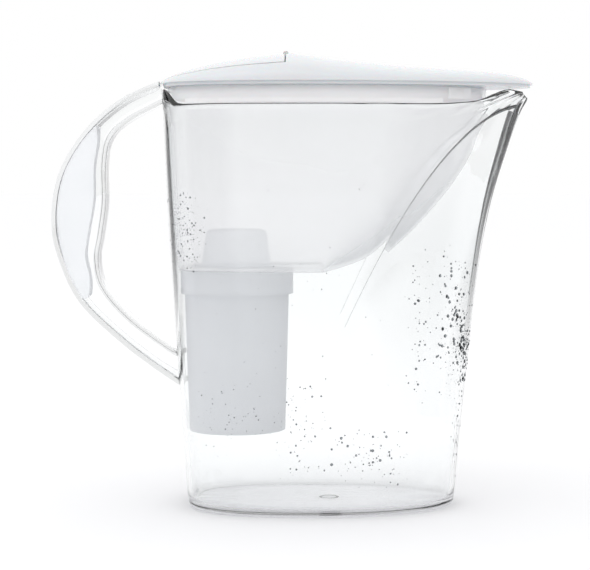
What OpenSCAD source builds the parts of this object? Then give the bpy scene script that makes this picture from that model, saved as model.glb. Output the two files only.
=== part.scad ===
// Water filter pitcher with a flip lid.
// Frame: origin at the centre of the flat base, +X to the spout, +Z up, the handle at -X.
// All sizes are millimetres.

/* [Jug] */
// Height of the jug's rim along its long sides
rim_z = 231; // [215:1:245]
// Base, from its centre back to the handle side
base_back = 77; // [72:0.5:80]
// Base, from its centre forward to the spout side
base_front = 78; // [74:0.5:82]
// Half of the base's width
base_half_w = 47; // [44:0.5:49]
// Rim, from the centre back to the handle side
rim_back = 91.5; // [89:0.5:94]
// Rim, from the centre forward, before the spout's reach
rim_front = 92; // [90:0.5:95]
// Half of the rim's width
rim_half_w = 52; // [50:0.5:54]
// How far the side walls swell between base and rim
wall_swell = 1; // [0:0.1:2]
// Thickness of the clear wall
wall = 2.6; // [2:0.1:3]
// Thickness of the floor
floor_t = 4; // [3:0.1:6]
// Radius under the edge of the base
foot_r = 3; // [2:0.1:5]

/* [Spout] */
// How far the spout's lip stands out in front of the rim
spout_reach = 28; // [22:0.5:32]
// How far the rim rises at the handle end and at the spout
end_rise = 9.8; // [8:0.1:10]
// How far the lip dips at the very tip
lip_dip = 6; // [3:0.5:7]
// Depth of the folded flank under the crease
crease_depth = 5; // [2:0.25:6]
// Width over which the flank reaches its depth
crease_run = 7; // [5:0.5:14]
// How far down from the rim the crease runs
crease_drop = 153; // [130:1:165]

/* [Handle] */
// How far the handle stands out from the rim
handle_reach = 62; // [56:1:70]
// Height of the handle's loop where it meets the wall
handle_h = 175; // [160:1:182]
// Gap between the wall and the line the loop is drawn from
handle_root = 0.8; // [0.4:0.1:2]
// Height of the loop's top above the lid's edge
handle_over = 1.6; // [0:0.1:3]
// Width of the handle, side to side
handle_w = 22; // [18:0.5:26]
// Thickness of the handle's middle web
web_t = 3; // [2:0.25:5]
// Thickness of the handle's inner and outer flanges
flange_t = 2.4; // [2:0.1:3]
// How far a grip pad stays below the edge of the flanges
pad_sink = 1.2; // [0.5:0.1:2]
// Gap between a grip pad and the flanges
pad_gap = 0.1; // [0.05:0.05:0.3]

/* [Hopper] */
// Height of the underside of the hopper's floor
hopper_z = 137; // [132:1:142]
// Front end of the hopper at its rim
hopper_front = 95.5; // [93:0.5:97]
// Front end of the flat floor
floor_front = 4; // [3:0.5:8]
// Thickness of the hopper's wall and floor
hopper_t = 2; // [1.6:0.1:2.4]
// Half of the hopper's width at its floor
floor_half_w = 42.5; // [42:0.5:44]
// Gap between the hopper and the jug's inside
hopper_gap = 0.8; // [0.5:0.1:1.2]
// Thickness of the flange that hangs on the rim
hang_t = 2.4; // [2:0.1:3]
// Length of the locating tabs along the collar
tab_l = 13; // [8:1:16]

/* [Filter cartridge] */
// Distance of the cartridge's axis behind the centre
filter_back = 48.8; // [48:0.1:49.2]
// Outer radius of the sleeve
sleeve_r = 30.5; // [30:0.1:31]
// Outer radius of the sleeve at its foot
sleeve_foot_r = 28.4; // [28:0.1:28.6]
// Thickness of the sleeve's wall
sleeve_t = 1.8; // [1.4:0.1:2]
// Radius of the cartridge's flange
flange_r = 31.2; // [30.8:0.1:31.6]
// Height of the cartridge's flange
flange_h = 6; // [4:0.5:7]
// Cup's radius under the flange
cup_top_r = 26.8; // [25.5:0.1:27.2]
// Cup's radius at its foot
cup_foot_r = 23.3; // [21:0.1:24.5]
// Length of the cup below the flange
cup_h = 79; // [70:1:84]
// Radius of the slotted ring on the flange
slot_ring_r = 23; // [22:0.5:25]
// Height of the slotted ring
slot_ring_h = 7; // [6:0.5:9]
// Radius at the foot of the cap
cap_foot_r = 20.5; // [19:0.5:21.5]
// Radius at the top of the cap
cap_top_r = 17.5; // [15:0.5:18.5]
// Height of the cap above the slotted ring
cap_h = 21.8; // [18:0.5:24]
// Wall of the cartridge's parts
cartridge_t = 1.4; // [1:0.1:1.8]
// Number of pairs of slots in the ring
slot_pairs = 8; // [4:1:10]
// Width of one slot
slot_w = 1.1; // [0.8:0.1:1.6]

/* [Lid] */
// How far the lid reaches past the rim at the handle
lid_over_back = 0.3; // [0:0.1:1.5]
// How far the lid's tip reaches past the spout's lip
lid_over_front = 2.2; // [0:0.1:6]
// How far the lid reaches past the rim at each side
lid_over_side = 1.2; // [0.5:0.1:3]
// Height of the dome's peak above the lid's edge
dome_h = 18.2; // [14:0.2:20]
// Wall of the lid and the flap
lid_t = 2; // [1.6:0.1:2.4]
// Thickness of the plate under the dome
plate_t = 1.7; // [1.4:0.1:2.2]
// How far the plate stays back from the lid's edge
plate_inset = 1.5; // [1:0.1:1.8]
// Depth of the skirt that enters the collar
skirt_h = 7; // [5:0.5:8]
// Length of the fill opening
fill_l = 50; // [44:1:52]
// Width of the fill opening
fill_w = 44; // [36:1:48]

/* [Flap] */
// Place of the flap's hinge line along the lid
hinge_x = -20; // [-24:0.5:-17]
// Share of the dome's half-width that the flap covers
flap_share = 0.8; // [0.72:0.01:0.84]
// Radius of the hinge's knuckles
knuckle_r = 1.6; // [1.5:0.1:1.9]
// Depth of the hinge's axis below the dome's skin
hinge_sink = 0.4; // [0.3:0.05:0.4]
// Radius of the hinge pin
pin_r = 0.8; // [0.7:0.05:0.85]
// Length of the flap's middle knuckle
knuckle_l = 12; // [8:1:13]
// Thickness of each hinge post
post_t = 3; // [2:0.1:4]

/* [Fits] */
// Gap between parts that lift apart
lift_gap = 0.3; // [0.2:0.05:0.4]
// Gap round the flap
flap_gap = 0.65; // [0.6:0.05:0.8]
// Radial clearance of a running pin
pin_gap = 0.06; // [0.03:0.01:0.1]

/* [Hidden] */
$fn = 64;
// Steps of a jug ring: flank, side and back, on one half
FLANK = 8;
SIDE = 6;
BACK = 9;
// Levels of the jug's rings, as shares of the rim's height
LEVELS = [0.02, 0.05, 0.1, 0.18, 0.27, 0.36, 0.45, 0.54, 0.62, 0.69, 0.755, 0.81, 0.86, 0.905, 0.94, 0.97, 1];
// A smooth curve through points, with n steps between two of them
function smooth(pts, n) = concat(
    [for (i = [0 : len(pts) - 2], k = [0 : n - 1])
        let (a = pts[max(0, i - 1)], b = pts[i], c = pts[i + 1], d = pts[min(len(pts) - 1, i + 2)], t = k / n)
        0.5 * (2 * b + (c - a) * t + (2 * a - 5 * b + 4 * c - d) * t * t + (3 * b - a - 3 * c + d) * t * t * t)],
    [pts[len(pts) - 1]]
);
// Height of the dome along the lid: place as a share of its back or front, and share of the peak
DOME = smooth([
    [-1, 0.09], [-0.9, 0.33], [-0.67, 0.65], [-0.45, 0.84], [-0.25, 0.955], [-0.17, 1], [-0.09, 0.93],
    [0.09, 0.77], [0.28, 0.64], [0.5, 0.53], [0.73, 0.43], [0.85, 0.37], [0.95, 0.22], [1, 0.05]
], 4);
// The lid follows the rim
lid_back = rim_back + lid_over_back;
lid_front = rim_front + spout_reach + lid_over_front;
lid_half_w = rim_half_w + lid_over_side;
// The lid's edge lies over the raised ends of the rim
edge_z = rim_z + end_rise + lift_gap + plate_t;
plate_z = edge_z - plate_t;
collar_z = plate_z - lift_gap;
hang_z = rim_z + lift_gap;
// Seat of the cartridge, measured from the hopper's floor
seat_z = hopper_z - flange_h - 6;
flange_z = seat_z + lift_gap / 2;
ring_z = flange_z + flange_h;
cap_z = ring_z + slot_ring_h;
cup_foot_z = flange_z - cup_h;
recess_r = flange_r + lift_gap + 0.1;
bore_r = sleeve_r - sleeve_t;
sleeve_foot_z = cup_foot_z - lift_gap - sleeve_t;
// The hinge's axis lies just under the dome's skin
hinge_z = edge_z + dome_rise(hinge_x) - hinge_sink;
notch_half = knuckle_l / 2 + post_t + 2 * flap_gap;
notch_x = knuckle_r + flap_gap;

function ramp(a, b, x) = let (t = min(1, max(0, (x - a) / (b - a)))) t * t * (3 - 2 * t);
// A point of a superellipse with semi-axes a and b and power p, at angle t
function oval(a, b, p, t) = [
    (cos(t) < 0 ? -1 : 1) * a * pow(abs(cos(t)), 2 / p),
    (sin(t) < 0 ? -1 : 1) * b * pow(abs(sin(t)), 2 / p)
];
// Half of the width of an oval plan at x
function plan_half(x, back, front, b, back_p, front_p) =
    let (a = x < 0 ? back : front, p = x < 0 ? back_p : front_p)
    b * pow(max(0, 1 - pow(min(1, abs(x) / a), p)), 1 / p);
// The other half of an outline whose first half runs from the front to the back
function mirrored(half) = concat(half, [for (i = [len(half) - 2 : -1 : 1]) [half[i][0], -half[i][1]]]);
// ---- The jug's wall ----
BACK_POWER = 2.9;
function foot_inset(z) = z >= foot_r ? 0 : foot_r * (1 - sqrt(1 - pow(1 - z / foot_r, 2)));
function swell(z) = wall_swell * sin(180 * z / rim_z) - foot_inset(z);
function jug_back(z) = base_back + (rim_back - base_back) * z / rim_z + swell(z);
function jug_half_w(z) = base_half_w + (rim_half_w - base_half_w) * z / rim_z + swell(z);
function jug_nose(z) = base_front + (rim_front - base_front) * z / rim_z + swell(z)
    + 0.07 * spout_reach * ramp(0, rim_z / 2, z) + 0.93 * spout_reach * pow(z / rim_z, 4.6);
function front_power(z) = 2.05 - 0.3 * ramp(0.4 * rim_z, rim_z, z);
function crease_x(z) = (rim_front + spout_reach) * 0.98
    * (1 - pow(min(1, max(0.001, (rim_z - z) / crease_drop)), 0.54));
function rim_lift(x, z) =
    let (nose = jug_nose(rim_z), share = pow(ramp(0.84 * rim_z, rim_z, z), 1.5))
    share * (end_rise * ramp(-0.9 * rim_back, -0.96 * rim_back, x)
        + end_rise * ramp(0.72 * nose, 0.8 * nose, x)
        - lip_dip * pow(max(0, (x - 0.8 * nose) / (0.2 * nose)), 4));
// One closed ring of the wall at height z, moved in by t
function jug_ring(z, t) =
    let (
        front = jug_nose(z) - t,
        back = jug_back(z) - t,
        b = jug_half_w(z) - t,
        p = front_power(z),
        fold = min(max(2, crease_x(z)), front - 3),
        fold_t = acos(pow(fold / front, p / 2)),
        depth = crease_depth * ramp(rim_z - crease_drop, rim_z - 0.4 * crease_drop, z),
        flank = [for (k = [0 : FLANK])
            let (q = oval(front, b, p, fold_t * k / FLANK))
            [q[0], q[1] - min(depth * (1 - exp((fold - q[0]) / crease_run)), 0.3 * q[1])]],
        side = [for (k = [1 : SIDE]) oval(front, b, p, fold_t + (90 - fold_t) * k / SIDE)],
        rear = [for (k = [1 : BACK]) oval(back, b, BACK_POWER, 90 + 90 * k / BACK)]
    )
    [for (q = mirrored(concat(flank, side, rear))) [q[0], q[1], z + rim_lift(q[0], z)]];
function at_height(ring, z) = [for (q = ring) [q[0], q[1], z]];

// A closed solid through rings of equal length, from the first end face to the last
module tube_loft(rings) {
    m = len(rings[0]);
    n = len(rings);
    polyhedron(
        points = [for (r = rings, q = r) q],
        faces = concat(
            [[for (k = [0 : m - 1]) k]],
            [for (i = [0 : n - 2], k = [0 : m - 1], half = [0, 1])
                let (a = i * m + k, b = i * m + (k + 1) % m, c = b + m, d = a + m)
                half == 0 ? [a, d, c] : [a, c, b]],
            [[for (k = [m - 1 : -1 : 0]) (n - 1) * m + k]]
        ),
        convexity = 8
    );
}

module jug_shell() {
    foot = [for (z = [0, 0.3 * foot_r, foot_r]) jug_ring(z, 0)];
    outside = [for (s = LEVELS) if (s * rim_z > foot_r + 0.5) jug_ring(s * rim_z, 0)];
    inside = [for (i = [len(LEVELS) - 1 : -1 : 0]) if (LEVELS[i] * rim_z > floor_t + 3) jug_ring(LEVELS[i] * rim_z, wall)];
    color([0.86, 0.9, 0.92, 0.35])
    tube_loft(concat(foot, outside, inside, [
        at_height(jug_ring(floor_t + 2, wall), floor_t + 2),
        at_height(jug_ring(floor_t + 2, wall + 1.5), floor_t)
    ]));
}

// ---- The handle ----
// Outlines run from the top down: distance out from the wall and height, as shares of the loop
OUTER_EDGE = [
    [-0.2, 1.01], [0, 1], [0.37, 0.94], [0.7, 0.836], [0.93, 0.7], [1, 0.55],
    [0.94, 0.425], [0.75, 0.28], [0.4, 0.157], [0.1, 0.073], [-0.2, 0]
];
INNER_EDGE = [
    [-0.2, 0.965], [0.0, 0.925], [0.28, 0.872], [0.45, 0.815], [0.5, 0.73], [0.5, 0.607],
    [0.54, 0.5], [0.575, 0.418], [0.52, 0.33], [0.3, 0.236], [0, 0.153], [-0.2, 0.107]
];
PAD_EDGE = [
    [0.58, 0.858], [0.76, 0.79], [0.9, 0.685], [0.95, 0.57], [0.9, 0.43], [0.77, 0.31], [0.67, 0.295],
    [0.65, 0.36], [0.69, 0.43], [0.66, 0.51], [0.61, 0.61], [0.605, 0.72], [0.57, 0.8]
];
handle_foot_z = edge_z + handle_over - handle_h;
function handle_at(share) =
    [-rim_back - handle_root - handle_reach * share[0], handle_foot_z + handle_h * share[1]];
function handle_curve(shares) = smooth([for (s = shares) handle_at(s)], 5);
function backwards(list) = [for (i = [len(list) - 1 : -1 : 0]) list[i]];

module handle_outline() {
    polygon(concat(handle_curve(OUTER_EDGE), backwards(handle_curve(INNER_EDGE))));
}

// The room between the flanges, t inside the outline
module handle_hollow(t) {
    polygon(concat(edge_moved(handle_curve(OUTER_EDGE), t), backwards(edge_moved(handle_curve(INNER_EDGE), -t))));
}

module handle_flanges() {
    difference() {
        handle_outline();
        handle_hollow(flange_t);
    }
}

// A curve moved sideways by d, to the right of its own direction
function edge_moved(c, d) = [for (i = [0 : len(c) - 1])
    let (v = c[min(len(c) - 1, i + 1)] - c[max(0, i - 1)], u = v / norm(v))
    c[i] + d * [-u[1], u[0]]];

// Stands a drawing of the X-Z plane up and gives it a width, centred on the mid-plane
module upright(width) {
    rotate([90, 0, 0])
    linear_extrude(width, center = true)
    children();
}

module jug_handle() {
    color([0.86, 0.9, 0.92, 0.35])
    difference() {
        union() {
            upright(web_t) handle_outline();
            upright(handle_w) handle_flanges();
        }
        tube_loft(concat(
            [for (s = LEVELS) if (s > 0.1) jug_ring(s * rim_z, 0)],
            [at_height(jug_ring(rim_z, 0), rim_z + end_rise + 1)]
        ));
        translate([-lid_back - flap_gap, -handle_w, collar_z])
        cube([handle_reach, 2 * handle_w, handle_h]);
    }
}

module grip_pad(side) {
    depth = handle_w / 2 - pad_sink - web_t / 2;
    color([0.93, 0.94, 0.95, 0.8])
    translate([0, side * (web_t + depth) / 2, 0])
    upright(depth)
    intersection() {
        polygon(smooth(concat([for (s = PAD_EDGE) handle_at(s)], [handle_at(PAD_EDGE[0])]), 4));
        handle_hollow(flange_t + pad_gap);
    }
}

module grip_pad_front() {
    grip_pad(-1);
}

module grip_pad_back() {
    grip_pad(1);
}

// ---- The hopper ----
HOPPER_BACK_POWER = 2.8;
HOPPER_FRONT_POWER = 1.85;
HOPPER_TURNS = [0, 8, 16, 24, 32, 40, 48, 56, 64, 72, 80, 90];
function hopper_share(z) = min(1, max(0, (z - hopper_z) / (rim_z - hopper_z)));
function hopper_nose(z) = floor_front + (hopper_front - floor_front) * pow(1 - pow(1 - hopper_share(z), 1.6), 1 / 1.6);
function hopper_half_w(z) =
    let (top = jug_half_w(rim_z) - wall - hopper_gap)
    floor_half_w + (top - floor_half_w) * pow(1 - pow(1 - hopper_share(z), 2.2), 1 / 2.2);
// The plan at height z, moved in by t, and by front_t at the front
function hopper_plan(z, t, front_t) =
    let (
        front = hopper_nose(z) - front_t,
        back = jug_back(z) - wall - hopper_gap - t,
        b = hopper_half_w(z) - t
    )
    mirrored(concat(
        [for (k = [0 : 13]) oval(front, b, HOPPER_FRONT_POWER, 90 * k / 13)],
        [for (k = [1 : 9]) oval(back, b, HOPPER_BACK_POWER, 90 + 90 * k / 9)]
    ));
function turn_z(turn) = hopper_z + (rim_z - hopper_z) * (1 - pow(cos(turn), 1.25));

module hopper_basin() {
    t = hopper_t;
    outside = [for (a = HOPPER_TURNS) at_height(hopper_plan(turn_z(a), 0, 0), turn_z(a))];
    inside = [for (i = [len(HOPPER_TURNS) - 1 : -1 : 1])
        let (a = HOPPER_TURNS[i], z = turn_z(a))
        at_height(hopper_plan(z, t, t * sin(a)), z + t * cos(a))];
    color([0.95, 0.96, 0.97, 0.9])
    ring_loft(concat(outside, [
        at_height(hopper_plan(rim_z, 0, 0), collar_z),
        at_height(hopper_plan(rim_z, t, t), collar_z)
    ], inside, [
        at_height(hopper_plan(hopper_z, t, t), hopper_z + t),
        at_height(hopper_plan(hopper_z, t, t), hopper_z)
    ]));
}

// A closed band through rings of equal length, where the last ring joins the first
module ring_loft(rings) {
    m = len(rings[0]);
    n = len(rings);
    polyhedron(
        points = [for (r = rings, q = r) q],
        faces = [for (i = [0 : n - 1], k = [0 : m - 1], half = [0, 1])
            let (j = (i + 1) % n, l = (k + 1) % m, a = i * m + k, b = i * m + l, c = j * m + l, d = j * m + k)
            half == 0 ? [a, d, c] : [a, c, b]],
        convexity = 8
    );
}

// Moves a piece from the cartridge's own axis to its place
module on_filter_axis() {
    translate([-filter_back, 0, 0])
    children();
}

module hopper_floor() {
    color([0.95, 0.96, 0.97, 0.9])
    difference() {
        translate([0, 0, hopper_z])
        linear_extrude(hopper_t)
        polygon(hopper_plan(hopper_z, hopper_t, hopper_t));
        on_filter_axis()
        translate([0, 0, hopper_z - 1])
        cylinder(r = recess_r, h = hopper_t + 2);
    }
}

module hopper_flange() {
    // It ends where the rim starts to rise
    level = [for (q = jug_ring(rim_z, 0)) if (q[2] < rim_z + 0.01) q[0]];
    back = -min(level) - lift_gap;
    front = max(level) - lift_gap;
    color([0.97, 0.97, 0.98, 0.9])
    translate([0, 0, hang_z])
    linear_extrude(hang_t)
    difference() {
        intersection() {
            polygon([for (q = jug_ring(rim_z, 0)) [q[0], q[1]]]);
            translate([-back, -rim_half_w - 1])
            square([back + front, 2 * rim_half_w + 2]);
        }
        polygon(hopper_plan(rim_z, 0, 0));
    }
}

module locating_tabs() {
    start = 0.7 * jug_nose(rim_z) - tab_l;
    color([0.9, 0.91, 0.92, 0.9])
    translate([0, 0, hang_z + hang_t])
    linear_extrude(collar_z - hang_z - hang_t - 1)
    difference() {
        intersection() {
            polygon(hopper_plan(rim_z, -3, -3));
            translate([start, -rim_half_w])
            square([tab_l, 2 * rim_half_w]);
        }
        polygon(hopper_plan(rim_z, 0, 0));
    }
}

module filter_sleeve() {
    shelf_t = sleeve_t;
    outer = recess_r + 1.4;
    mouth = cup_foot_r - 5;
    color([0.86, 0.87, 0.88, 0.9])
    on_filter_axis()
    rotate_extrude()
    polygon([
        [mouth, sleeve_foot_z], [sleeve_foot_r, sleeve_foot_z], [sleeve_r, seat_z - shelf_t],
        [outer, seat_z - shelf_t], [outer, hopper_z], [recess_r, hopper_z], [recess_r, seat_z],
        [bore_r, seat_z], [sleeve_foot_r - sleeve_t, sleeve_foot_z + sleeve_t], [mouth, sleeve_foot_z + sleeve_t]
    ]);
}

// ---- The filter cartridge ----
screen_t = 0.8;
function cup_r(z) = cup_foot_r + (cup_top_r - cup_foot_r) * (z - cup_foot_z) / (ring_z - cup_foot_z);

module cartridge_cup() {
    t = cartridge_t;
    top = ring_z - t;
    color([0.96, 0.96, 0.97])
    on_filter_axis()
    rotate_extrude()
    polygon([
        [cup_foot_r - 4, cup_foot_z], [cup_foot_r, cup_foot_z], [cup_r(top), top], [cup_r(top) - t, top],
        [cup_r(cup_foot_z + t) - t, cup_foot_z + t], [cup_foot_r - 4, cup_foot_z + t]
    ]);
}

module cartridge_flange() {
    t = cartridge_t;
    color([0.96, 0.96, 0.97])
    on_filter_axis()
    rotate_extrude()
    polygon([
        [slot_ring_r - 3, ring_z - t], [flange_r - t, ring_z - t], [flange_r - t - 0.8, flange_z],
        [flange_r - 0.8, flange_z], [flange_r, ring_z], [slot_ring_r - 3, ring_z]
    ]);
}

module cartridge_cap() {
    t = cartridge_t;
    top = cap_z + cap_h;
    pitch = 3.6;
    color([0.96, 0.96, 0.97])
    on_filter_axis()
    difference() {
        rotate_extrude()
        polygon([
            [slot_ring_r - t, ring_z], [slot_ring_r, ring_z], [slot_ring_r, cap_z - 1], [slot_ring_r - 1, cap_z],
            [cap_foot_r, cap_z], [cap_top_r, top - 2], [cap_top_r - 1, top - 0.6], [cap_top_r - 3, top], [0, top],
            [0, top - t], [cap_top_r - t - 1, top - t - 1], [cap_foot_r - t, cap_z - t], [slot_ring_r - t, cap_z - t]
        ]);
        for (k = [0 : slot_pairs - 1], side = [-1, 1])
            rotate([0, 0, (k + 0.5) * 360 / slot_pairs])
            translate([slot_ring_r - 2 * t, side * pitch / 2 - slot_w / 2, ring_z + 0.8])
            cube([4 * t, slot_w, slot_ring_h - 2.4]);
    }
}

// A round screen with rings of small holes
module screen(r, z) {
    color([0.82, 0.84, 0.86])
    on_filter_axis()
    translate([0, 0, z])
    difference() {
        cylinder(r = r, h = screen_t);
        for (ring = [1 : 3], k = [0 : 6 * ring - 1])
            rotate([0, 0, k * 60 / ring])
            translate([ring * r / 4, 0, -1])
            cylinder(r = 1.4, h = screen_t + 2);
    }
}

module lower_screen() {
    z = cup_foot_z + cartridge_t;
    screen(cup_r(z) - cartridge_t - 0.2, z);
}

module upper_screen() {
    z = flange_z;
    screen(cup_r(z) - cartridge_t - 0.2, z);
}

module filter_bed() {
    low = cup_foot_z + cartridge_t + screen_t;
    high = flange_z;
    inset = cartridge_t + 0.2;
    color([0.2, 0.2, 0.21])
    on_filter_axis()
    translate([0, 0, low])
    cylinder(r1 = cup_r(low) - inset, r2 = cup_r(high) - inset, h = high - low);
}

// ---- The lid and its flap ----
LID_BACK_POWER = 2.9;
LID_FRONT_POWER = 1.8;
function dome_rise(x) = dome_h * lookup(x < 0 ? x / lid_back : x / lid_front, DOME);
function lid_half(x, t) =
    plan_half(x, lid_back - t, lid_front - t, lid_half_w - t, LID_BACK_POWER, LID_FRONT_POWER);
function lid_plan(t) = mirrored(concat(
    [for (k = [0 : 14]) oval(lid_front - t, lid_half_w - t, LID_FRONT_POWER, 90 * k / 14)],
    [for (k = [1 : 10]) oval(lid_back - t, lid_half_w - t, LID_BACK_POWER, 90 + 90 * k / 10)]
));
// A point of the dome's skin, t below its outside, at angle b across the lid
function skin(x, b, t) =
    let (xx = x * (x < 0 ? (lid_back - t) / lid_back : (lid_front - t) / lid_front))
    [xx, lid_half(xx, t) * sin(b), edge_z + max(dome_rise(x) - t, lift_gap) * cos(b)];
flap_b = asin(flap_share);
notch_b = asin(notch_half / lid_half(hinge_x, 0));
BACK_XS = [for (k = [0 : 11]) -lid_back + (lid_back + hinge_x - notch_x) * (1 - cos(4 + 86 * k / 11)) / (1 - cos(90))];
FRONT_XS = [for (k = [1 : 17]) hinge_x + notch_x + (lid_front - 0.2 - hinge_x - notch_x) * sin(90 * k / 17)];

// A skin of thickness lid_t over the cells of a grid where open_at(x, b) is false
module skin_patch(xs, bs, kind) {
    nx = len(xs);
    nb = len(bs);
    under = nx * nb;
    function live(i, k) =
        i >= 0 && i < nx - 1 && k >= 0 && k < nb - 1
        && !cut_out((xs[i] + xs[i + 1]) / 2, (bs[k] + bs[k + 1]) / 2, kind);
    cells = [for (i = [0 : nx - 2], k = [0 : nb - 2]) if (live(i, k)) [i, k]];
    polyhedron(
        points = concat(
            [for (x = xs, b = bs) skin(x, trimmed(x, b, kind), 0)],
            [for (x = xs, b = bs) skin(x, trimmed(x, b, kind), lid_t)]
        ),
        faces = [for (cell = cells)
            let (
                i = cell[0], k = cell[1],
                a = i * nb + k, b = a + nb, c = b + 1, d = a + 1, u = under,
                quads = concat(
                    [[a, d, c, b], [a + u, b + u, c + u, d + u]],
                    live(i - 1, k) ? [] : [[d, a, a + u, d + u]],
                    live(i + 1, k) ? [] : [[b, c, c + u, b + u]],
                    live(i, k - 1) ? [] : [[a, b, b + u, a + u]],
                    live(i, k + 1) ? [] : [[c, d, d + u, c + u]]
                )
            )
            for (q = quads, half = [0, 1])
                half == 0 ? [q[0], q[1], q[2]] : [q[0], q[2], q[3]]],
        convexity = 8
    );
}

// The flap's outermost angle gives way to the gap, wherever the lid is narrow
function trimmed(x, b, kind) =
    kind == "flap" && abs(b) > flap_b - 0.001 ? b - sign(b) * min(8, flap_gap * 1.2 / lid_half(x, 0) / cos(flap_b) * 180 / PI) : b;

// Where the lid is open for the flap, and where both are notched for the knuckles
function cut_out(x, b, kind) =
    kind == "lid"
        ? (x < hinge_x && abs(b) < flap_b) || (x < hinge_x + notch_x && abs(b) < notch_b)
        : x > hinge_x - notch_x && abs(b) < notch_b;

module lid_shell() {
    side = [notch_b, 24, 38, flap_b, 62, 71, 80, 90];
    color([0.95, 0.96, 0.97])
    skin_patch(
        concat(BACK_XS, [hinge_x, hinge_x + notch_x], FRONT_XS),
        concat(backwards([for (b = side) -b]), [0], side),
        "lid"
    );
}

module flap_shell() {
    side = [notch_b, 20, 31, 42, flap_b];
    color([0.97, 0.975, 0.98])
    skin_patch(
        concat(BACK_XS, [hinge_x - flap_gap]),
        concat(backwards([for (b = side) -b]), [0], side),
        "flap"
    );
}

module flap_knuckle() {
    arm = 12;
    under = lid_t + 0.65;
    skin_z = edge_z + dome_rise(hinge_x - arm) - under;
    color([0.97, 0.975, 0.98])
    difference() {
        union() {
            on_hinge_axis() cylinder(r = knuckle_r, h = knuckle_l, center = true);
            upright(knuckle_l)
            polygon([
                [hinge_x + 0.6, hinge_z - 1.3], [hinge_x + 0.6, hinge_z - knuckle_r - 1.4],
                [hinge_x - arm, skin_z - 1.6], [hinge_x - arm, skin_z],
                [hinge_x - notch_x + 0.3, edge_z + dome_rise(hinge_x - notch_x) - under],
                [hinge_x - 1.6, hinge_z - 0.5]
            ]);
        }
        on_hinge_axis() cylinder(r = pin_r + pin_gap, h = 2 * knuckle_l, center = true);
    }
}

// Moves a piece that is round about the vertical onto the flap's hinge line
module on_hinge_axis() {
    translate([hinge_x, 0, hinge_z])
    rotate([90, 0, 0])
    children();
}

module hinge_pin() {
    color([0.75, 0.76, 0.78])
    on_hinge_axis()
    cylinder(r = pin_r, h = knuckle_l + 2 * post_t + flap_gap, center = true);
}

fill_x = hinge_x - 8 - fill_l / 2;
function fill_plan(t) = [for (k = [0 : 35]) [fill_x, 0] + oval(fill_l / 2 + t, fill_w / 2 + t, 2.3, 10 * k)];

module lid_plate() {
    post_foot = 4.5;
    color([0.93, 0.94, 0.95])
    union() {
        translate([0, 0, plate_z])
        linear_extrude(plate_t)
        difference() {
            polygon(lid_plan(plate_inset));
            polygon(fill_plan(0));
        }
        for (side = [-1, 1])
            translate([0, side * (knuckle_l + flap_gap + post_t) / 2, 0])
            upright(post_t)
            difference() {
                union() {
                    translate([hinge_x, hinge_z]) circle(r = knuckle_r);
                    polygon([
                        [hinge_x - post_foot, plate_z + plate_t / 2], [hinge_x + post_foot, plate_z + plate_t / 2],
                        [hinge_x + knuckle_r, hinge_z - 4], [hinge_x + knuckle_r, hinge_z],
                        [hinge_x - knuckle_r, hinge_z], [hinge_x - knuckle_r, hinge_z - 4]
                    ]);
                }
                translate([hinge_x, hinge_z]) circle(r = pin_r);
            }
    }
}

module lid_skirt() {
    inset = hopper_t + 0.5;
    color([0.93, 0.94, 0.95])
    translate([0, 0, plate_z - skirt_h])
    linear_extrude(skirt_h)
    difference() {
        polygon(hopper_plan(rim_z, inset, inset));
        polygon(hopper_plan(rim_z, inset + plate_t, inset + plate_t));
    }
}

module fill_funnel() {
    color([0.93, 0.94, 0.95])
    translate([0, 0, edge_z])
    linear_extrude(3)
    difference() {
        polygon(fill_plan(1.5));
        polygon(fill_plan(0));
    }
}

jug_shell();
jug_handle();
grip_pad_front();
grip_pad_back();
hopper_basin();
hopper_floor();
hopper_flange();
locating_tabs();
filter_sleeve();
cartridge_cup();
cartridge_flange();
cartridge_cap();
upper_screen();
lower_screen();
filter_bed();
lid_shell();
lid_plate();
lid_skirt();
fill_funnel();
hinge_pin();
flap_shell();
flap_knuckle();
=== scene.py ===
# %% [markdown]
# # A clear water filter pitcher, one cell at a time
# This script adds what CAD doesn't hold: smooth moulded skins, softened edges, materials, water
# droplets, a studio and a camera. Every length is in metres, and X points to the spout, Z up.

# %% Load the frame and keep its box
import bpy, bmesh, math, random
from mathutils import Matrix, Vector
from mathutils.bvhtree import BVHTree


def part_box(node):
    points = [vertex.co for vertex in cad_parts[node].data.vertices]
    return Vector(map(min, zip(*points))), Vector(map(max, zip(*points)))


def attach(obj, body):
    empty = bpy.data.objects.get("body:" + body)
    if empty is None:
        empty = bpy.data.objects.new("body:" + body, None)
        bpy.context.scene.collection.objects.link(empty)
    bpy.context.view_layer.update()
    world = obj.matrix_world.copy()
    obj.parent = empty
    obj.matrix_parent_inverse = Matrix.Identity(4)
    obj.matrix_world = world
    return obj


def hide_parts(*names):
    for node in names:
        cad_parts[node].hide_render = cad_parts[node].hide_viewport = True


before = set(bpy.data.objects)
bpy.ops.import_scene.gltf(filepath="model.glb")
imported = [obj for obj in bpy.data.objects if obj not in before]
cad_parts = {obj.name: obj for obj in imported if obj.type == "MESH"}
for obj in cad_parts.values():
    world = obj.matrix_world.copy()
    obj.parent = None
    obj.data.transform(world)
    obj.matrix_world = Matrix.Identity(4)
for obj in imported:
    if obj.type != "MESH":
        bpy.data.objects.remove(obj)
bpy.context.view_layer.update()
MM = 0.001
jug_low, jug_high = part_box("jug_shell")
print("jug box, mm:", [round(v / MM, 1) for v in (*jug_low, *jug_high)])

# %% [markdown]
# ## Colour and node helpers
# A maker writes a colour as the eye sees it, in sRGB hex. Blender's shaders count light, which is
# linear, so one function converts. A second one adds a shader node with its settings and its links.
# Two more are built on it: one does arithmetic on shader values, and one mixes two tints.

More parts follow.
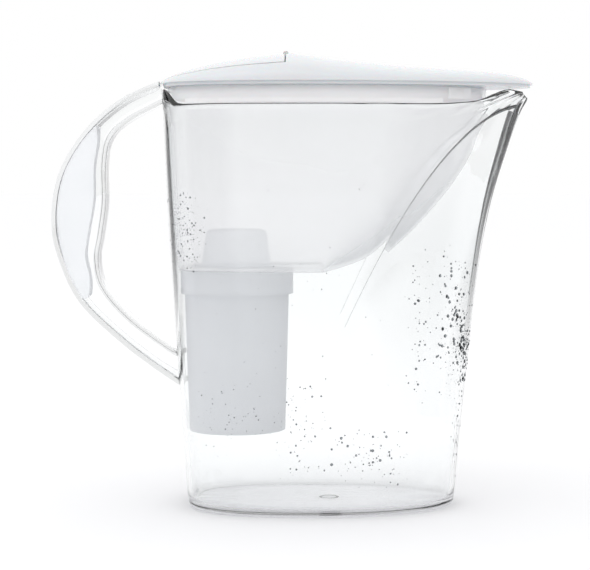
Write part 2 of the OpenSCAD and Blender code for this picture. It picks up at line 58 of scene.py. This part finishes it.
# %% Colour and node helpers
def colour(hex_text):
    channels = [int(hex_text[i:i + 2], 16) / 255 for i in (1, 3, 5)]
    return (*[c / 12.92 if c <= 0.04045 else ((c + 0.055) / 1.055) ** 2.4 for c in channels], 1.0)


def node(tree, kind, links=None, values=None, **settings):
    made = tree.nodes.new(kind)
    for name, value in settings.items():
        setattr(made, name, value)
    for socket, value in (values or {}).items():
        made.inputs[socket].default_value = value
    for socket, source in (links or {}).items():
        tree.links.new(source, made.inputs[socket])
    return made


def maths(tree, operation, *terms):
    made = node(tree, "ShaderNodeMath", operation=operation)
    for number, term in enumerate(terms):
        if isinstance(term, (int, float)):
            made.inputs[number].default_value = term
        else:
            tree.links.new(term, made.inputs[number])
    return made.outputs[0]


def mixed(tree, factor, first, second):
    made = node(tree, "ShaderNodeMix", {"Factor": factor}, data_type="RGBA")
    for socket, tint in (("A", first), ("B", second)):
        if isinstance(tint, str):
            made.inputs[socket].default_value = colour(tint)
        else:
            tree.links.new(tint, made.inputs[socket])
    return made.outputs["Result"]


def blank_material(name):
    material = bpy.data.materials.new(name)
    material.use_nodes = True
    material.node_tree.nodes.clear()
    return material, material.node_tree


print("a light grey, linear:", [round(c, 3) for c in colour("#E6E8EA")[:3]])

# %% [markdown]
# ## Light through clear plastic
# Light that falls through two clear walls onto the hopper would take thousands of samples to find. So
# rays that look for a lamp pass straight through a clear wall, dimmed by its `lamp_tint`, while the eye
# still sees every bend in the wall. Close to the table they are dimmed more, by a `foot_tint`, but only
# on upright faces: this gives the narrow contact shadow that tells the eye that the jug stands there.
# Both tints are aids to the picture. They aren't properties of the plastic.

# %% Light through clear plastic
FOOT_TOP, FOOT_LOW = 12 * MM, 2 * MM


def facing_up(tree):
    normal = node(tree, "ShaderNodeNewGeometry").outputs["Normal"]
    return node(tree, "ShaderNodeSeparateXYZ", {0: normal}).outputs["Z"]


def foot_share(tree, place):
    height = node(tree, "ShaderNodeSeparateXYZ", {0: place}).outputs["Z"]
    low = node(tree, "ShaderNodeMapRange", {"Value": height}, {"From Min": FOOT_TOP, "From Max": FOOT_LOW})
    upright = maths(tree, "SUBTRACT", 1.0, maths(tree, "ABSOLUTE", facing_up(tree)))
    return maths(tree, "MULTIPLY", low.outputs["Result"], upright)


def lets_lamps_through(tree, surface, place, lamp_tint, foot_tint):
    path = node(tree, "ShaderNodeLightPath")
    lighting = maths(tree, "MAXIMUM", path.outputs["Is Shadow Ray"], path.outputs["Is Diffuse Ray"])
    passing = node(tree, "ShaderNodeBsdfTransparent", values={"Color": colour(lamp_tint)})
    if foot_tint:
        dimmed = mixed(tree, foot_share(tree, place), lamp_tint, foot_tint)
        tree.links.new(dimmed, passing.inputs["Color"])
    return node(tree, "ShaderNodeMixShader", {0: lighting, 1: surface, 2: passing.outputs[0]}).outputs[0]


print("contact shadow reaches up to, mm:", round(FOOT_TOP / MM))

# %% [markdown]
# ## Moulded plastic
# Every part here is injection moulded, and moulded plastic is never one flat value. Its tint drifts
# a little with wall thickness, the mould's polish varies, and the skin ripples slightly where the melt
# flowed. One function sets these three up: a noise of `flow_mm` for the tint and the polish, and a bump
# of `grain_mm`, which is the texture of the mould's surface. `tints` and `roughness` each give the two
# ends between which the noise moves. An under tint is painted shade: it darkens faces that look down,
# because light this soft leaves them too pale. `grey_per_metre` makes thick clear plastic darker than
# thin. How much light goes through differs from part to part, so each material states that itself.

# %% A moulded plastic
SHADE_UNDER_FROM, SHADE_UNDER_TO = -0.15, -0.8


def moulded(name, tints, roughness, flow_mm, grain_mm, grain_depth_mm, bump,
            painted_under_shade=None, lamp_tint=None, foot_tint=None, grey_per_metre=0, **sockets):
    material, tree = blank_material(name)
    place = node(tree, "ShaderNodeTexCoord").outputs["Object"]
    flow = node(tree, "ShaderNodeTexNoise", {"Vector": place},
                {"Scale": 1 / (flow_mm * MM), "Detail": 3.0, "Roughness": 0.5}).outputs["Fac"]
    grain = node(tree, "ShaderNodeTexNoise", {"Vector": place},
                 {"Scale": 1 / (grain_mm * MM), "Detail": 2.0, "Roughness": 0.6}).outputs["Fac"]
    shade = mixed(tree, flow, tints[1], tints[0])
    # Painted shade: faces that look down are mixed towards a darker tint.
    if painted_under_shade:
        down = node(tree, "ShaderNodeMapRange", {"Value": facing_up(tree)},
                    {"From Min": SHADE_UNDER_FROM, "From Max": SHADE_UNDER_TO})
        shade = mixed(tree, down.outputs["Result"], shade, painted_under_shade)
    polish = node(tree, "ShaderNodeMapRange", {"Value": flow},
                  {"From Min": 0.3, "From Max": 0.7, "To Min": roughness[1], "To Max": roughness[0]})
    ripple = node(tree, "ShaderNodeBump", {"Height": grain},
                  {"Strength": bump, "Distance": grain_depth_mm * MM})
    surface = node(tree, "ShaderNodeBsdfPrincipled",
                   {"Base Color": shade, "Roughness": polish.outputs["Result"],
                    "Normal": ripple.outputs["Normal"]},
                   {socket.replace("_", " "): value for socket, value in sockets.items()}).outputs["BSDF"]
    if lamp_tint:
        surface = lets_lamps_through(tree, surface, place, lamp_tint, foot_tint)
    output = node(tree, "ShaderNodeOutputMaterial", {"Surface": surface})
    if grey_per_metre:
        depth = node(tree, "ShaderNodeVolumeAbsorption",
                     values={"Color": colour("#000000"), "Density": grey_per_metre})
        tree.links.new(depth.outputs[0], output.inputs["Volume"])
    return material


# %% [markdown]
# ## The plastics of the pitcher
# - The jug and its handle are SAN, the clear stiff plastic of kitchen jugs: it bends light a little
#   more than glass does, so its edges draw thin dark lines. The fold, the spout's corner and the gate
#   are the same plastic, but look dark in the photograph. Their greys are painted shade, chosen to match
#   it, and are far stronger than the real plastic's.
# - The grip pads are a soft clear elastomer with a spark-eroded texture, which looks frosted.
# - The hopper and the sleeve are polypropylene left natural: milky, so a part behind it shows as a
#   shade. Their `Alpha` counts for each surface, and a wall has two. The sleeve's tint is greyer than
#   the hopper's, which is painted shade for its place inside the hopper.
# - The lid and the cartridge are the same plastic with white pigment. The lid's mould is polished, and
#   the cartridge's is matt.

# %% Clear plastics
def clear_plastic(name, tints, grey_per_metre, foot_tint=None):
    return moulded(name, tints, (0.012, 0.0), flow_mm=90, grain_mm=30, grain_depth_mm=0.02, bump=0.15,
                   lamp_tint="#FCFCFD", foot_tint=foot_tint, grey_per_metre=grey_per_metre,
                   Transmission_Weight=1.0, IOR=1.57)


clear_san = clear_plastic("clear_SAN_injection_moulded", ("#FFFFFF", "#FAFCFC"), 8, foot_tint="#7C7E80")
# Painted shade: a strong grey per metre darkens the fold's bead far past the real plastic.
fold_san_painted_shade = clear_plastic("clear_SAN_fold_painted_shade", ("#F4F5F5", "#EEF0F0"), 800)
# Painted shade: the spout corner's strong grey draws the dark strip behind the spout's front edge.
corner_san_painted_shade = clear_plastic("clear_SAN_corner_painted_shade", ("#F4F5F5", "#EEF0F0"), 160)
# Painted shade: the gate ring's dark grey stands for shade, as the real ring is clear plastic.
gate_san_painted_shade = moulded("clear_SAN_gate_vestige_painted_shade", ("#5A5C5F", "#4C4E51"), (0.3, 0.2),
                   flow_mm=90, grain_mm=30, grain_depth_mm=0.02, bump=0.15,
                   Transmission_Weight=0.4, IOR=1.57)
frosted_grip = moulded("frosted_TPE_spark_eroded_mould", ("#FBFCFD", "#F3F5F6"), (0.46, 0.38),
                       flow_mm=20, grain_mm=0.8, grain_depth_mm=0.03, bump=0.35,
                       lamp_tint="#FBFBFC", Transmission_Weight=0.45, IOR=1.48)
print("clear plastics:", len(bpy.data.materials))

# %% Milky and white plastics
# Painted shade: the hopper's faces that look down are darkened towards #C2C5C8.
milky_pp = moulded("natural_PP_injection_moulded", ("#FFFFFF", "#FCFCFC"), (0.36, 0.28),
                   flow_mm=45, grain_mm=6.0, grain_depth_mm=0.02, bump=0.12, painted_under_shade="#C2C5C8",
                   lamp_tint="#FCFCFC", Alpha=0.3, IOR=1.49, Specular_IOR_Level=0.2)
# Painted shade: the sleeve's tint is greyer than the hopper's, though both are the same plastic.
sleeve_pp_painted_shade = moulded("natural_PP_sleeve_painted_shade", ("#DFE1E3", "#D7D9DB"), (0.42, 0.34),
                    flow_mm=45, grain_mm=6.0, grain_depth_mm=0.02, bump=0.12,
                    lamp_tint="#F2F3F4", Alpha=0.8, IOR=1.49, Specular_IOR_Level=0.2)
white_pp = moulded("white_PP_polished_mould", ("#D3D5D8", "#CDD0D3"), (0.26, 0.18),
                   flow_mm=60, grain_mm=8.0, grain_depth_mm=0.02, bump=0.12,
                   IOR=1.49, Subsurface_Weight=0.25, Subsurface_Scale=0.004)
satin_pp = moulded("white_PP_matt_mould", ("#D8DBDE", "#D1D4D7"), (0.5, 0.42),
                   flow_mm=30, grain_mm=1.5, grain_depth_mm=0.02, bump=0.2, IOR=1.49)
mesh_pp = moulded("PP_woven_screen", ("#D7DADD", "#C9CCD0"), (0.55, 0.5),
                  flow_mm=10, grain_mm=1.0, grain_depth_mm=0.05, bump=0.4, IOR=1.49)
acetal = moulded("acetal_turned_pin", ("#D9DCDF", "#CFD2D6"), (0.3, 0.24),
                 flow_mm=12, grain_mm=0.8, grain_depth_mm=0.01, bump=0.2, IOR=1.48)
print("plastics in all:", len(bpy.data.materials))

# %% [markdown]
# ## The filter's filling
# Activated carbon is a bed of dark grains of about a millimetre. A Voronoi texture gives each grain its
# own shade, and its distance to the grain's middle gives the lumps.

# %% Filter media
def granules(name, grain_mm):
    material, tree = blank_material(name)
    place = node(tree, "ShaderNodeTexCoord").outputs["Object"]
    cell = node(tree, "ShaderNodeTexVoronoi", {"Vector": place}, {"Scale": 1 / (grain_mm * MM)})
    shade = mixed(tree, cell.outputs["Color"], "#202123", "#4A4C50")
    lumps = node(tree, "ShaderNodeBump", {"Height": cell.outputs["Distance"]},
                 {"Strength": 0.8, "Distance": 0.3 * MM})
    skin = node(tree, "ShaderNodeBsdfPrincipled",
                {"Base Color": shade, "Normal": lumps.outputs["Normal"]}, {"Roughness": 0.8})
    node(tree, "ShaderNodeOutputMaterial", {"Surface": skin.outputs["BSDF"]})
    return material


media = granules("activated_carbon_granules", 0.9)
print("filling:", media.name)

# %% [markdown]
# ## From CAD triangles to a smooth moulding
# The CAD skins of the jug, the hopper and the lid are honest but faceted, and clear plastic shows every
# facet. So each is copied, its loose triangles are merged and paired into quads, and a subdivision
# surface rounds it. Edges that are folds on the real moulding get a crease first, so the subdivision
# keeps them. The copy then stands for the CAD node.

# %% Smooth copies
MERGE_WITHIN = 0.002 * MM
SHARP_DEG = 40


def merged_copy(cad_name):
    bm = bmesh.new()
    bm.from_mesh(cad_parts[cad_name].data)
    bmesh.ops.remove_doubles(bm, verts=bm.verts, dist=MERGE_WITHIN)
    bmesh.ops.join_triangles(bm, faces=bm.faces, angle_face_threshold=math.radians(25),
                             angle_shape_threshold=math.radians(60))
    return bm


def crease_folds(bm, fold_deg, firmness, where=lambda edge: True):
    layer = bm.edges.layers.float.get("crease_edge") or bm.edges.layers.float.new("crease_edge")
    count = 0
    for edge in bm.edges:
        folded = len(edge.link_faces) == 2 and edge.calc_face_angle() > math.radians(fold_deg)
        if folded and where(edge):
            edge[layer] = firmness
            count += 1
    return count


def soften(piece, bevel_mm):
    softened = piece.modifiers.new("softened_edges", "BEVEL")
    softened.width = bevel_mm * MM
    softened.segments = 3
    softened.limit_method = "ANGLE"
    softened.angle_limit = math.radians(SHARP_DEG)


def finished(name, bm, material, body, replaces=(), rounds=0, bevel_mm=0.0):
    mesh = bpy.data.meshes.new(name)
    bm.to_mesh(mesh)
    bm.free()
    mesh.materials.clear()
    mesh.materials.append(material)
    mesh.polygons.foreach_set("use_smooth", [True] * len(mesh.polygons))
    mesh.polygons.foreach_set("material_index", [0] * len(mesh.polygons))
    piece = bpy.data.objects.new(name, mesh)
    bpy.context.scene.collection.objects.link(piece)
    if bevel_mm:
        soften(piece, bevel_mm)
    if rounds:
        rounding = piece.modifiers.new("rounding", "SUBSURF")
        rounding.levels = rounding.render_levels = rounds
    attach(piece, body)
    if replaces:
        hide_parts(*replaces)
    print(f"{name}: {len(mesh.polygons)} faces before its modifiers")
    return piece


# %% [markdown]
# ## The jug
# The jug is one clear moulding with walls of 2.6 mm. Its side wall folds in along a long curved crease
# that sweeps from the lip down to the middle of the jug, and this fold makes the spout. The fold must
# stay crisp and the rest must flow, so only edges on the crease's own curve and round the foot get a
# crease. The curve is the CAD model's: how far forward the fold lies at each height.

# %% Jug wall
RIM_Z, CREASE_DROP, CREASE_TOP_X, CREASE_POWER = 231 * MM, 153 * MM, 117.6 * MM, 0.54
CREASE_FOOT_Z, CREASE_BAND = 70 * MM, 1.5 * MM
FLOOR_TOP_Z, FOOT_BAND = 4 * MM, 0.1 * MM


def crease_x(z):
    return CREASE_TOP_X * (1 - min(1, max(0.001, (RIM_Z - z) / CREASE_DROP)) ** CREASE_POWER)


def on_crease(edge):
    return all(v.co.z > CREASE_FOOT_Z and abs(v.co.x - crease_x(v.co.z)) < CREASE_BAND for v in edge.verts)


def round_the_foot(edge):
    heights = [v.co.z for v in edge.verts]
    return max(heights) < FOOT_BAND or all(abs(z - FLOOR_TOP_Z) < FOOT_BAND for z in heights)


jug_bm = merged_copy("jug_shell")
folds = crease_folds(jug_bm, 4, 1.0, on_crease) + crease_folds(jug_bm, 8, 1.0, round_the_foot)
print("creased edges on the jug:", folds)
jug = finished("jug", jug_bm, clear_san, "jug", ["jug_shell"], rounds=2)

# %% [markdown]
# ## The fold's outer edge
# Along the crease the mould leaves a rounded outer edge, up to two millimetres across at the lip. It
# works as a thin rod lens: it bends light so far that it shows as a dark line. Its material adds
# painted shade, a grey far darker than the real plastic's, which deepens that line. The crease follows
# the same curve as in the CAD model, and a ray from the side finds where that curve lies on the wall.

# %% Crease beads
STEPS = 60
BEAD_FROM_RIM, BEAD_DROP, BEAD_SUNK = 0.6 * MM, CREASE_DROP - 30 * MM, 0.3 * MM
BEAD_FOOT_R, BEAD_SWELL, BEAD_LEAST_Y = 0.12 * MM, 0.95 * MM, 2 * MM


def wall_of(piece):
    depsgraph = bpy.context.evaluated_depsgraph_get()
    skin = bmesh.new()
    skin.from_mesh(piece.evaluated_get(depsgraph).to_mesh())
    return BVHTree.FromBMesh(skin)


def rod(name, points, material):
    line = bpy.data.curves.new(name, "CURVE")
    line.dimensions = "3D"
    line.bevel_depth, line.bevel_resolution, line.use_fill_caps = 1.0, 4, True
    spline = line.splines.new("POLY")
    spline.points.add(len(points) - 1)
    for point, (at, radius) in zip(spline.points, points):
        point.co, point.radius = (*at, 1), radius
    line.materials.append(material)
    made = bpy.data.objects.new(name, line)
    bpy.context.scene.collection.objects.link(made)
    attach(made, "jug")
    print(f"{name}: {len(points)} points")


def bead_points(side):
    points = []
    for step in range(STEPS + 1):
        down = step / STEPS
        z = RIM_Z - BEAD_FROM_RIM - BEAD_DROP * down ** 1.5
        start = Vector((crease_x(z), side * 0.2, z))
        at, normal, _, _ = jug_wall.ray_cast(start, Vector((0, -side, 0)))
        if at is not None and abs(at.y) > BEAD_LEAST_Y:
            points.append((at - normal * BEAD_SUNK, BEAD_FOOT_R + BEAD_SWELL * (1 - down) ** 2))
    return points


jug_wall = wall_of(jug)
for side, name in ((-1, "front"), (1, "back")):
    rod(f"crease_bead_{name}", bead_points(side), fold_san_painted_shade)

# %% [markdown]
# ## The spout's thick corner
# The photograph shows a broad dark strip behind the spout's front edge, widest at the lip and gone by
# the middle of the jug. Here a bead in the corner where the two side walls meet stands for it: partly
# thick plastic that bends light, partly painted shade, by a grey far darker than the real plastic's.
# Its size is a guess. A ray from inside the jug finds the corner.

# %% Spout corner
CORNER_TOP_R, CORNER_FOOT_R, CORNER_HEIGHT, CORNER_FROM_RIM = 3.2 * MM, 0.8 * MM, 105 * MM, 3.5 * MM
MIDDLE_X = 40 * MM
corner_points = []
for step in range(STEPS + 1):
    down = step / STEPS
    start = Vector((MIDDLE_X, 0, RIM_Z - CORNER_FROM_RIM - CORNER_HEIGHT * down))
    at, _, _, _ = jug_wall.ray_cast(start, Vector((1, 0, 0)))
    radius = CORNER_FOOT_R + (CORNER_TOP_R - CORNER_FOOT_R) * (1 - down) ** 1.3
    corner_points.append((at - Vector((radius, 0, 0)) * 0.6, radius))
rod("spout_corner", corner_points, corner_san_painted_shade)

# %% [markdown]
# ## The gate mark
# Plastic enters the mould through a gate in the middle of the jug's floor, and leaves a small ring
# there. A small circle spun round the gate's axis makes it. Its dark grey is painted shade, as the
# real ring is the same clear plastic.

# %% Gate mark
GATE_X, GATE_Z, GATE_R, GATE_BEAD_R = 5 * MM, 2 * MM, 5 * MM, 0.8 * MM
gate_bm = bmesh.new()
upright = Matrix.Translation((GATE_X + GATE_R, 0, GATE_Z)) @ Matrix.Rotation(math.radians(90), 4, "X")
bmesh.ops.create_circle(gate_bm, segments=10, radius=GATE_BEAD_R, matrix=upright)
bmesh.ops.spin(gate_bm, geom=gate_bm.verts[:] + gate_bm.edges[:], cent=(GATE_X, 0, GATE_Z),
               axis=(0, 0, 1), angle=math.tau, steps=32, use_merge=True)
bmesh.ops.recalc_face_normals(gate_bm, faces=gate_bm.faces)
gate_mark = finished("gate_mark", gate_bm, gate_san_painted_shade, "jug")

# %% [markdown]
# ## The handle and its grips
# The handle is a loop with an I-shaped section: a flange along its outside, one along its inside and a
# thin web between. The frosted pads sit in its two hollows. A mould can't hold a razor edge, so a bevel
# modifier rounds each one by more than half a millimetre, which also gives the flanges their bright
# lines.

# %% Handle and grips
handle = finished("handle", merged_copy("jug_handle"), clear_san, "jug", ["jug_handle"],
                  bevel_mm=0.7)
for side in ("front", "back"):
    finished(f"grip_{side}", merged_copy(f"grip_pad_{side}"), frosted_grip, "jug", [f"grip_pad_{side}"],
             bevel_mm=0.8)

# %% [markdown]
# ## The hopper
# The hopper is a deep milky bowl that hangs on the jug's rim and holds the water that waits for the
# filter. Its bottom is flat at the handle side and sweeps up towards the spout.

# %% Hopper
basin_bm = merged_copy("hopper_basin")
print("creased edges on the hopper:", crease_folds(basin_bm, 35, 0.9))
basin = finished("hopper_bowl", basin_bm, milky_pp, "hopper", ["hopper_basin"], rounds=1)

# %% [markdown]
# ## Pieces that are shown as the CAD made them
# The sleeve, the cartridge, the pin and the lid's inner pieces are round or flat, and mostly hidden
# behind milky walls. Their CAD shapes are already what the eye would see, so they only need a material.

# %% CAD pieces
MATERIAL_OF = {
    "hopper_floor": milky_pp, "hopper_flange": milky_pp, "locating_tabs": milky_pp,
    "filter_sleeve": sleeve_pp_painted_shade,
    "cartridge_cup": satin_pp, "cartridge_flange": satin_pp, "cartridge_cap": satin_pp,
    "upper_screen": mesh_pp, "lower_screen": mesh_pp, "filter_bed": media,
    "lid_plate": white_pp, "lid_skirt": white_pp, "fill_funnel": white_pp, "hinge_pin": acetal,
    "flap_knuckle": white_pp,
}
for name, material in MATERIAL_OF.items():
    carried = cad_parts[name]
    carried.data.materials.clear()
    carried.data.materials.append(material)
print("pieces shown as the CAD made them:", len(MATERIAL_OF))

# %% [markdown]
# ## The lid and the flap
# The lid is a long low dome, highest where the flap's hinge crosses it. Its shell and the flap are thin
# skins, so the cut edges stay crisp and the dome itself is rounded.

# %% Lid and flap
for name, cad, body in (("lid_dome", "lid_shell", "lid"), ("flap", "flap_shell", "flap")):
    dome_bm = merged_copy(cad)
    print("creased edges on the", body, crease_folds(dome_bm, 35, 0.85))
    finished(name, dome_bm, white_pp, body, [cad], rounds=2)

# %% [markdown]
# ## Droplets
# Cold water makes the clear wall sweat. Each droplet is a flattened ball that stands a little out of the
# wall, with few faces because it is one or two pixels wide. The patches below say where they gather, as
# a box of X and Z on the front wall, how many there are and how large. They are denser in the middle of
# a patch. A ray from the front finds the wall and its slope, and a fixed seed gives the same droplets
# in each run. Their water is tinted grey: painted shade, as clear drops this small would be lost in soft
# light.

# %% Droplets on the front wall
# Painted shade: the droplets' water is tinted grey so that they show.
water_drop = moulded("water_droplets_painted_shade", ("#9FA3A6", "#878B8F"), (0.02, 0.0),
                     flow_mm=3, grain_mm=30, grain_depth_mm=0.01, bump=0.1,
                     Transmission_Weight=1.0, IOR=1.33)
DROP_PATCHES = [  # (x from, x to, z from, z to, count, radius from, radius to), millimetres
    (62, 92, 60, 156, 190, 0.25, 1.1), (76, 88, 70, 118, 150, 0.3, 1.2), (74, 83, 8, 70, 70, 0.25, 0.7),
    (-2, 52, 14, 56, 90, 0.25, 0.9), (-92, -62, 134, 186, 170, 0.2, 0.6), (-30, 8, 20, 84, 80, 0.2, 0.6),
    (-72, -30, 30, 84, 50, 0.2, 0.5), (45, 64, 60, 155, 60, 0.25, 0.8), (-84, 60, 10, 225, 60, 0.15, 0.4),
]
DROP_SEED = 7
LEAST_FACING, LARGE_DROP_R = 0.12, 0.5 * MM
DROP_FLATNESS, DROP_STANDS_OUT = 0.45, 0.2


def droplets(name, patches, wall):
    dice = random.Random(DROP_SEED)
    bm = bmesh.new()
    for x0, x1, z0, z1, count, small, large in patches:
        for _ in range(count):
            x = (dice.uniform(x0, x1) + dice.uniform(x0, x1)) / 2 * MM
            z = (dice.uniform(z0, z1) + dice.uniform(z0, z1)) / 2 * MM
            at, normal, _, _ = wall.ray_cast(Vector((x, -0.2, z)), Vector((0, 1, 0)))
            if at is None or normal.y > -LEAST_FACING:
                continue
            radius = (small + (large - small) * dice.random() ** 2.5) * MM
            turn = normal.to_track_quat("Z", "Y").to_matrix().to_4x4()
            shape = Matrix.Diagonal((radius * dice.uniform(0.85, 1.1), radius, radius * DROP_FLATNESS, 1))
            place = Matrix.Translation(at + normal * radius * DROP_STANDS_OUT)
            bmesh.ops.create_icosphere(bm, subdivisions=2 if radius > LARGE_DROP_R else 1, radius=1.0,
                                       matrix=place @ turn @ shape)
    return finished(name, bm, water_drop, "jug")


condensation = droplets("condensation", DROP_PATCHES, jug_wall)

# %% [markdown]
# ## The studio floor
# The set is a wide sheet of pale paper. Pure white paper would still come out grey in places, so it
# glows faintly for rays that the eye follows, and a little more where it is seen through clear plastic,
# as light that the walls have caught comes out at the foot of a real jug. Both amounts are given.
# Rays that carry light don't see the glow.

# %% Floor
FLOOR_SIZE, FLOOR_GLOW, FOOT_GLOW = 30, 0.035, 0.07


def stage_plane(name, width, depth, material):
    bm = bmesh.new()
    bmesh.ops.create_grid(bm, x_segments=1, y_segments=1, size=0.5)
    bmesh.ops.scale(bm, vec=(width, depth, 1), verts=bm.verts)
    mesh = bpy.data.meshes.new(name)
    bm.to_mesh(mesh)
    bm.free()
    mesh.materials.append(material)
    plane = bpy.data.objects.new(name, mesh)
    bpy.context.scene.collection.objects.link(plane)
    return plane


floor_white, tree = blank_material("studio_floor")
path = node(tree, "ShaderNodeLightPath")
bent = path.outputs["Is Transmission Ray"]
seen = maths(tree, "MAXIMUM", path.outputs["Is Camera Ray"], bent)
seen_or_mirrored = maths(tree, "MAXIMUM", seen, path.outputs["Is Glossy Ray"])
lift = maths(tree, "MULTIPLY_ADD", bent, FOOT_GLOW, maths(tree, "MULTIPLY", seen_or_mirrored, FLOOR_GLOW))
paper = node(tree, "ShaderNodeBsdfDiffuse", values={"Color": colour("#EDEDEE")})
glow = node(tree, "ShaderNodeEmission", {"Strength": lift}, {"Color": (1, 1, 1, 1)})
both = node(tree, "ShaderNodeAddShader", {0: paper.outputs[0], 1: glow.outputs[0]})
node(tree, "ShaderNodeOutputMaterial", {"Surface": both.outputs[0]})
floor = stage_plane("floor", FLOOR_SIZE, FLOOR_SIZE, floor_white)
print("floor, metres:", tuple(floor.dimensions))

# %% [markdown]
# ## Black cards
# A clear object is drawn by what surrounds it. A white background alone would make it vanish, so a
# photographer stands black cards beside it, out of the picture: the curved walls bend the sight line
# towards them and their edges turn dark. Here a card stands at each corner of the set. Only rays that
# the clear plastic has bent see the cards, and each fades out towards its edges, so no card draws its
# own outline on the wall.

# %% Black cards
CARD_WIDTH, CARD_HEIGHT, CARD_AWAY = 0.62, 0.8, 0.58
CARD_BEARINGS = (36, 144, 216, 324)
card_black, tree = blank_material("black_card")
place = node(tree, "ShaderNodeSeparateXYZ", {0: node(tree, "ShaderNodeTexCoord").outputs["Object"]})
sideways = maths(tree, "ABSOLUTE", maths(tree, "MULTIPLY", place.outputs["X"], 2 / CARD_WIDTH))
upwards = maths(tree, "POWER", maths(tree, "MULTIPLY", place.outputs["Y"], 2 / CARD_HEIGHT), 2.0)
from_middle = maths(tree, "MAXIMUM", sideways, upwards)
soft = node(tree, "ShaderNodeMapRange", {"Value": from_middle}, {"From Min": 0.5})
path = node(tree, "ShaderNodeLightPath")
lighting = maths(tree, "GREATER_THAN", path.outputs["Diffuse Depth"], 0.5)
unseen = maths(tree, "MAXIMUM", lighting, soft.outputs["Result"])
matt = node(tree, "ShaderNodeEmission", values={"Color": colour("#101012"), "Strength": 1.0})
open_air = node(tree, "ShaderNodeBsdfTransparent")
either = node(tree, "ShaderNodeMixShader", {0: unseen, 1: matt.outputs[0], 2: open_air.outputs[0]})
node(tree, "ShaderNodeOutputMaterial", {"Surface": either.outputs[0]})
for number, bearing in enumerate(math.radians(degrees) for degrees in CARD_BEARINGS):
    card = stage_plane(f"card_{number}", CARD_WIDTH, CARD_HEIGHT, card_black)
    card.rotation_euler = (math.radians(90), 0, bearing + math.radians(90))
    card.location = (CARD_AWAY * math.cos(bearing), CARD_AWAY * math.sin(bearing), CARD_HEIGHT / 2)
    card.visible_camera = card.visible_diffuse = card.visible_shadow = card.visible_glossy = False
print("black cards:", len(CARD_BEARINGS))

# %% [markdown]
# ## Soft light all round
# The background is white to the eye, also through clear plastic. For light on the pieces it is a little
# stronger than that, and strongest overhead, as in a tent of white cloth with a lamp above it. One large
# soft lamp up and to the left gives the lid and the handle a lighter side.

# %% World and lamps
DOME_HORIZON, DOME_TOP, SEEN_WHITE = 1.09, 1.16, 1.0
world = bpy.data.worlds.new("studio")
bpy.context.scene.world = world
world.use_nodes = True
tree = world.node_tree
tree.nodes.clear()
path = node(tree, "ShaderNodeLightPath")
seen = maths(tree, "MAXIMUM", path.outputs["Is Camera Ray"], path.outputs["Is Transmission Ray"])
way = node(tree, "ShaderNodeSeparateXYZ", {0: node(tree, "ShaderNodeTexCoord").outputs["Generated"]})
dome = node(tree, "ShaderNodeMapRange", {"Value": way.outputs["Z"]},
            {"To Min": DOME_HORIZON, "To Max": DOME_TOP})
strength = node(tree, "ShaderNodeMapRange", {"Value": seen, "To Min": dome.outputs["Result"]},
                {"To Max": SEEN_WHITE})
sky = node(tree, "ShaderNodeBackground", {"Strength": strength.outputs["Result"]}, {"Color": (1, 1, 1, 1)})
node(tree, "ShaderNodeOutputWorld", {"Surface": sky.outputs[0]})


def softbox(name, place, aim, side, watts):
    light = bpy.data.lights.new(name, "AREA")
    light.shape = "SQUARE"
    light.size = side
    light.energy = watts
    lamp = bpy.data.objects.new(name, light)
    bpy.context.scene.collection.objects.link(lamp)
    lamp.location = place
    lamp.rotation_euler = (Vector(aim) - Vector(place)).to_track_quat("-Z", "Y").to_euler()
    lamp.visible_camera = False
    return lamp


top_softbox = softbox("top_softbox", place=(-0.5, -0.3, 1.5), aim=(0, 0, 0.1), side=1.2, watts=3)
print("lamp:", top_softbox.name, "watts:", top_softbox.data.energy)

# %% [markdown]
# ## The camera
# The photograph was taken from the front with a long lens, level with the upper part of the jug. The
# lens is 105 mm on a 36 mm wide picture, from one metre away, tilted down by under four degrees.

# %% Camera
LENS_MM, PICTURE_MM, TILT_DEG = 105.4, 36.0, 3.69
CAMERA_PLACE = (-0.0148, -1.0, 0.192)
lens = bpy.data.cameras.new("camera")
lens.lens, lens.sensor_width, lens.sensor_fit = LENS_MM, PICTURE_MM, "HORIZONTAL"
lens.clip_start, lens.clip_end = 0.01, 100
camera = bpy.data.objects.new("camera", lens)
bpy.context.scene.collection.objects.link(camera)
camera.location = CAMERA_PLACE
camera.rotation_euler = (math.radians(90 - TILT_DEG), 0, 0)
bpy.context.scene.camera = camera
bpy.context.scene.view_settings.view_transform = "Standard"
print("camera at:", CAMERA_PLACE, "lens, mm:", LENS_MM)
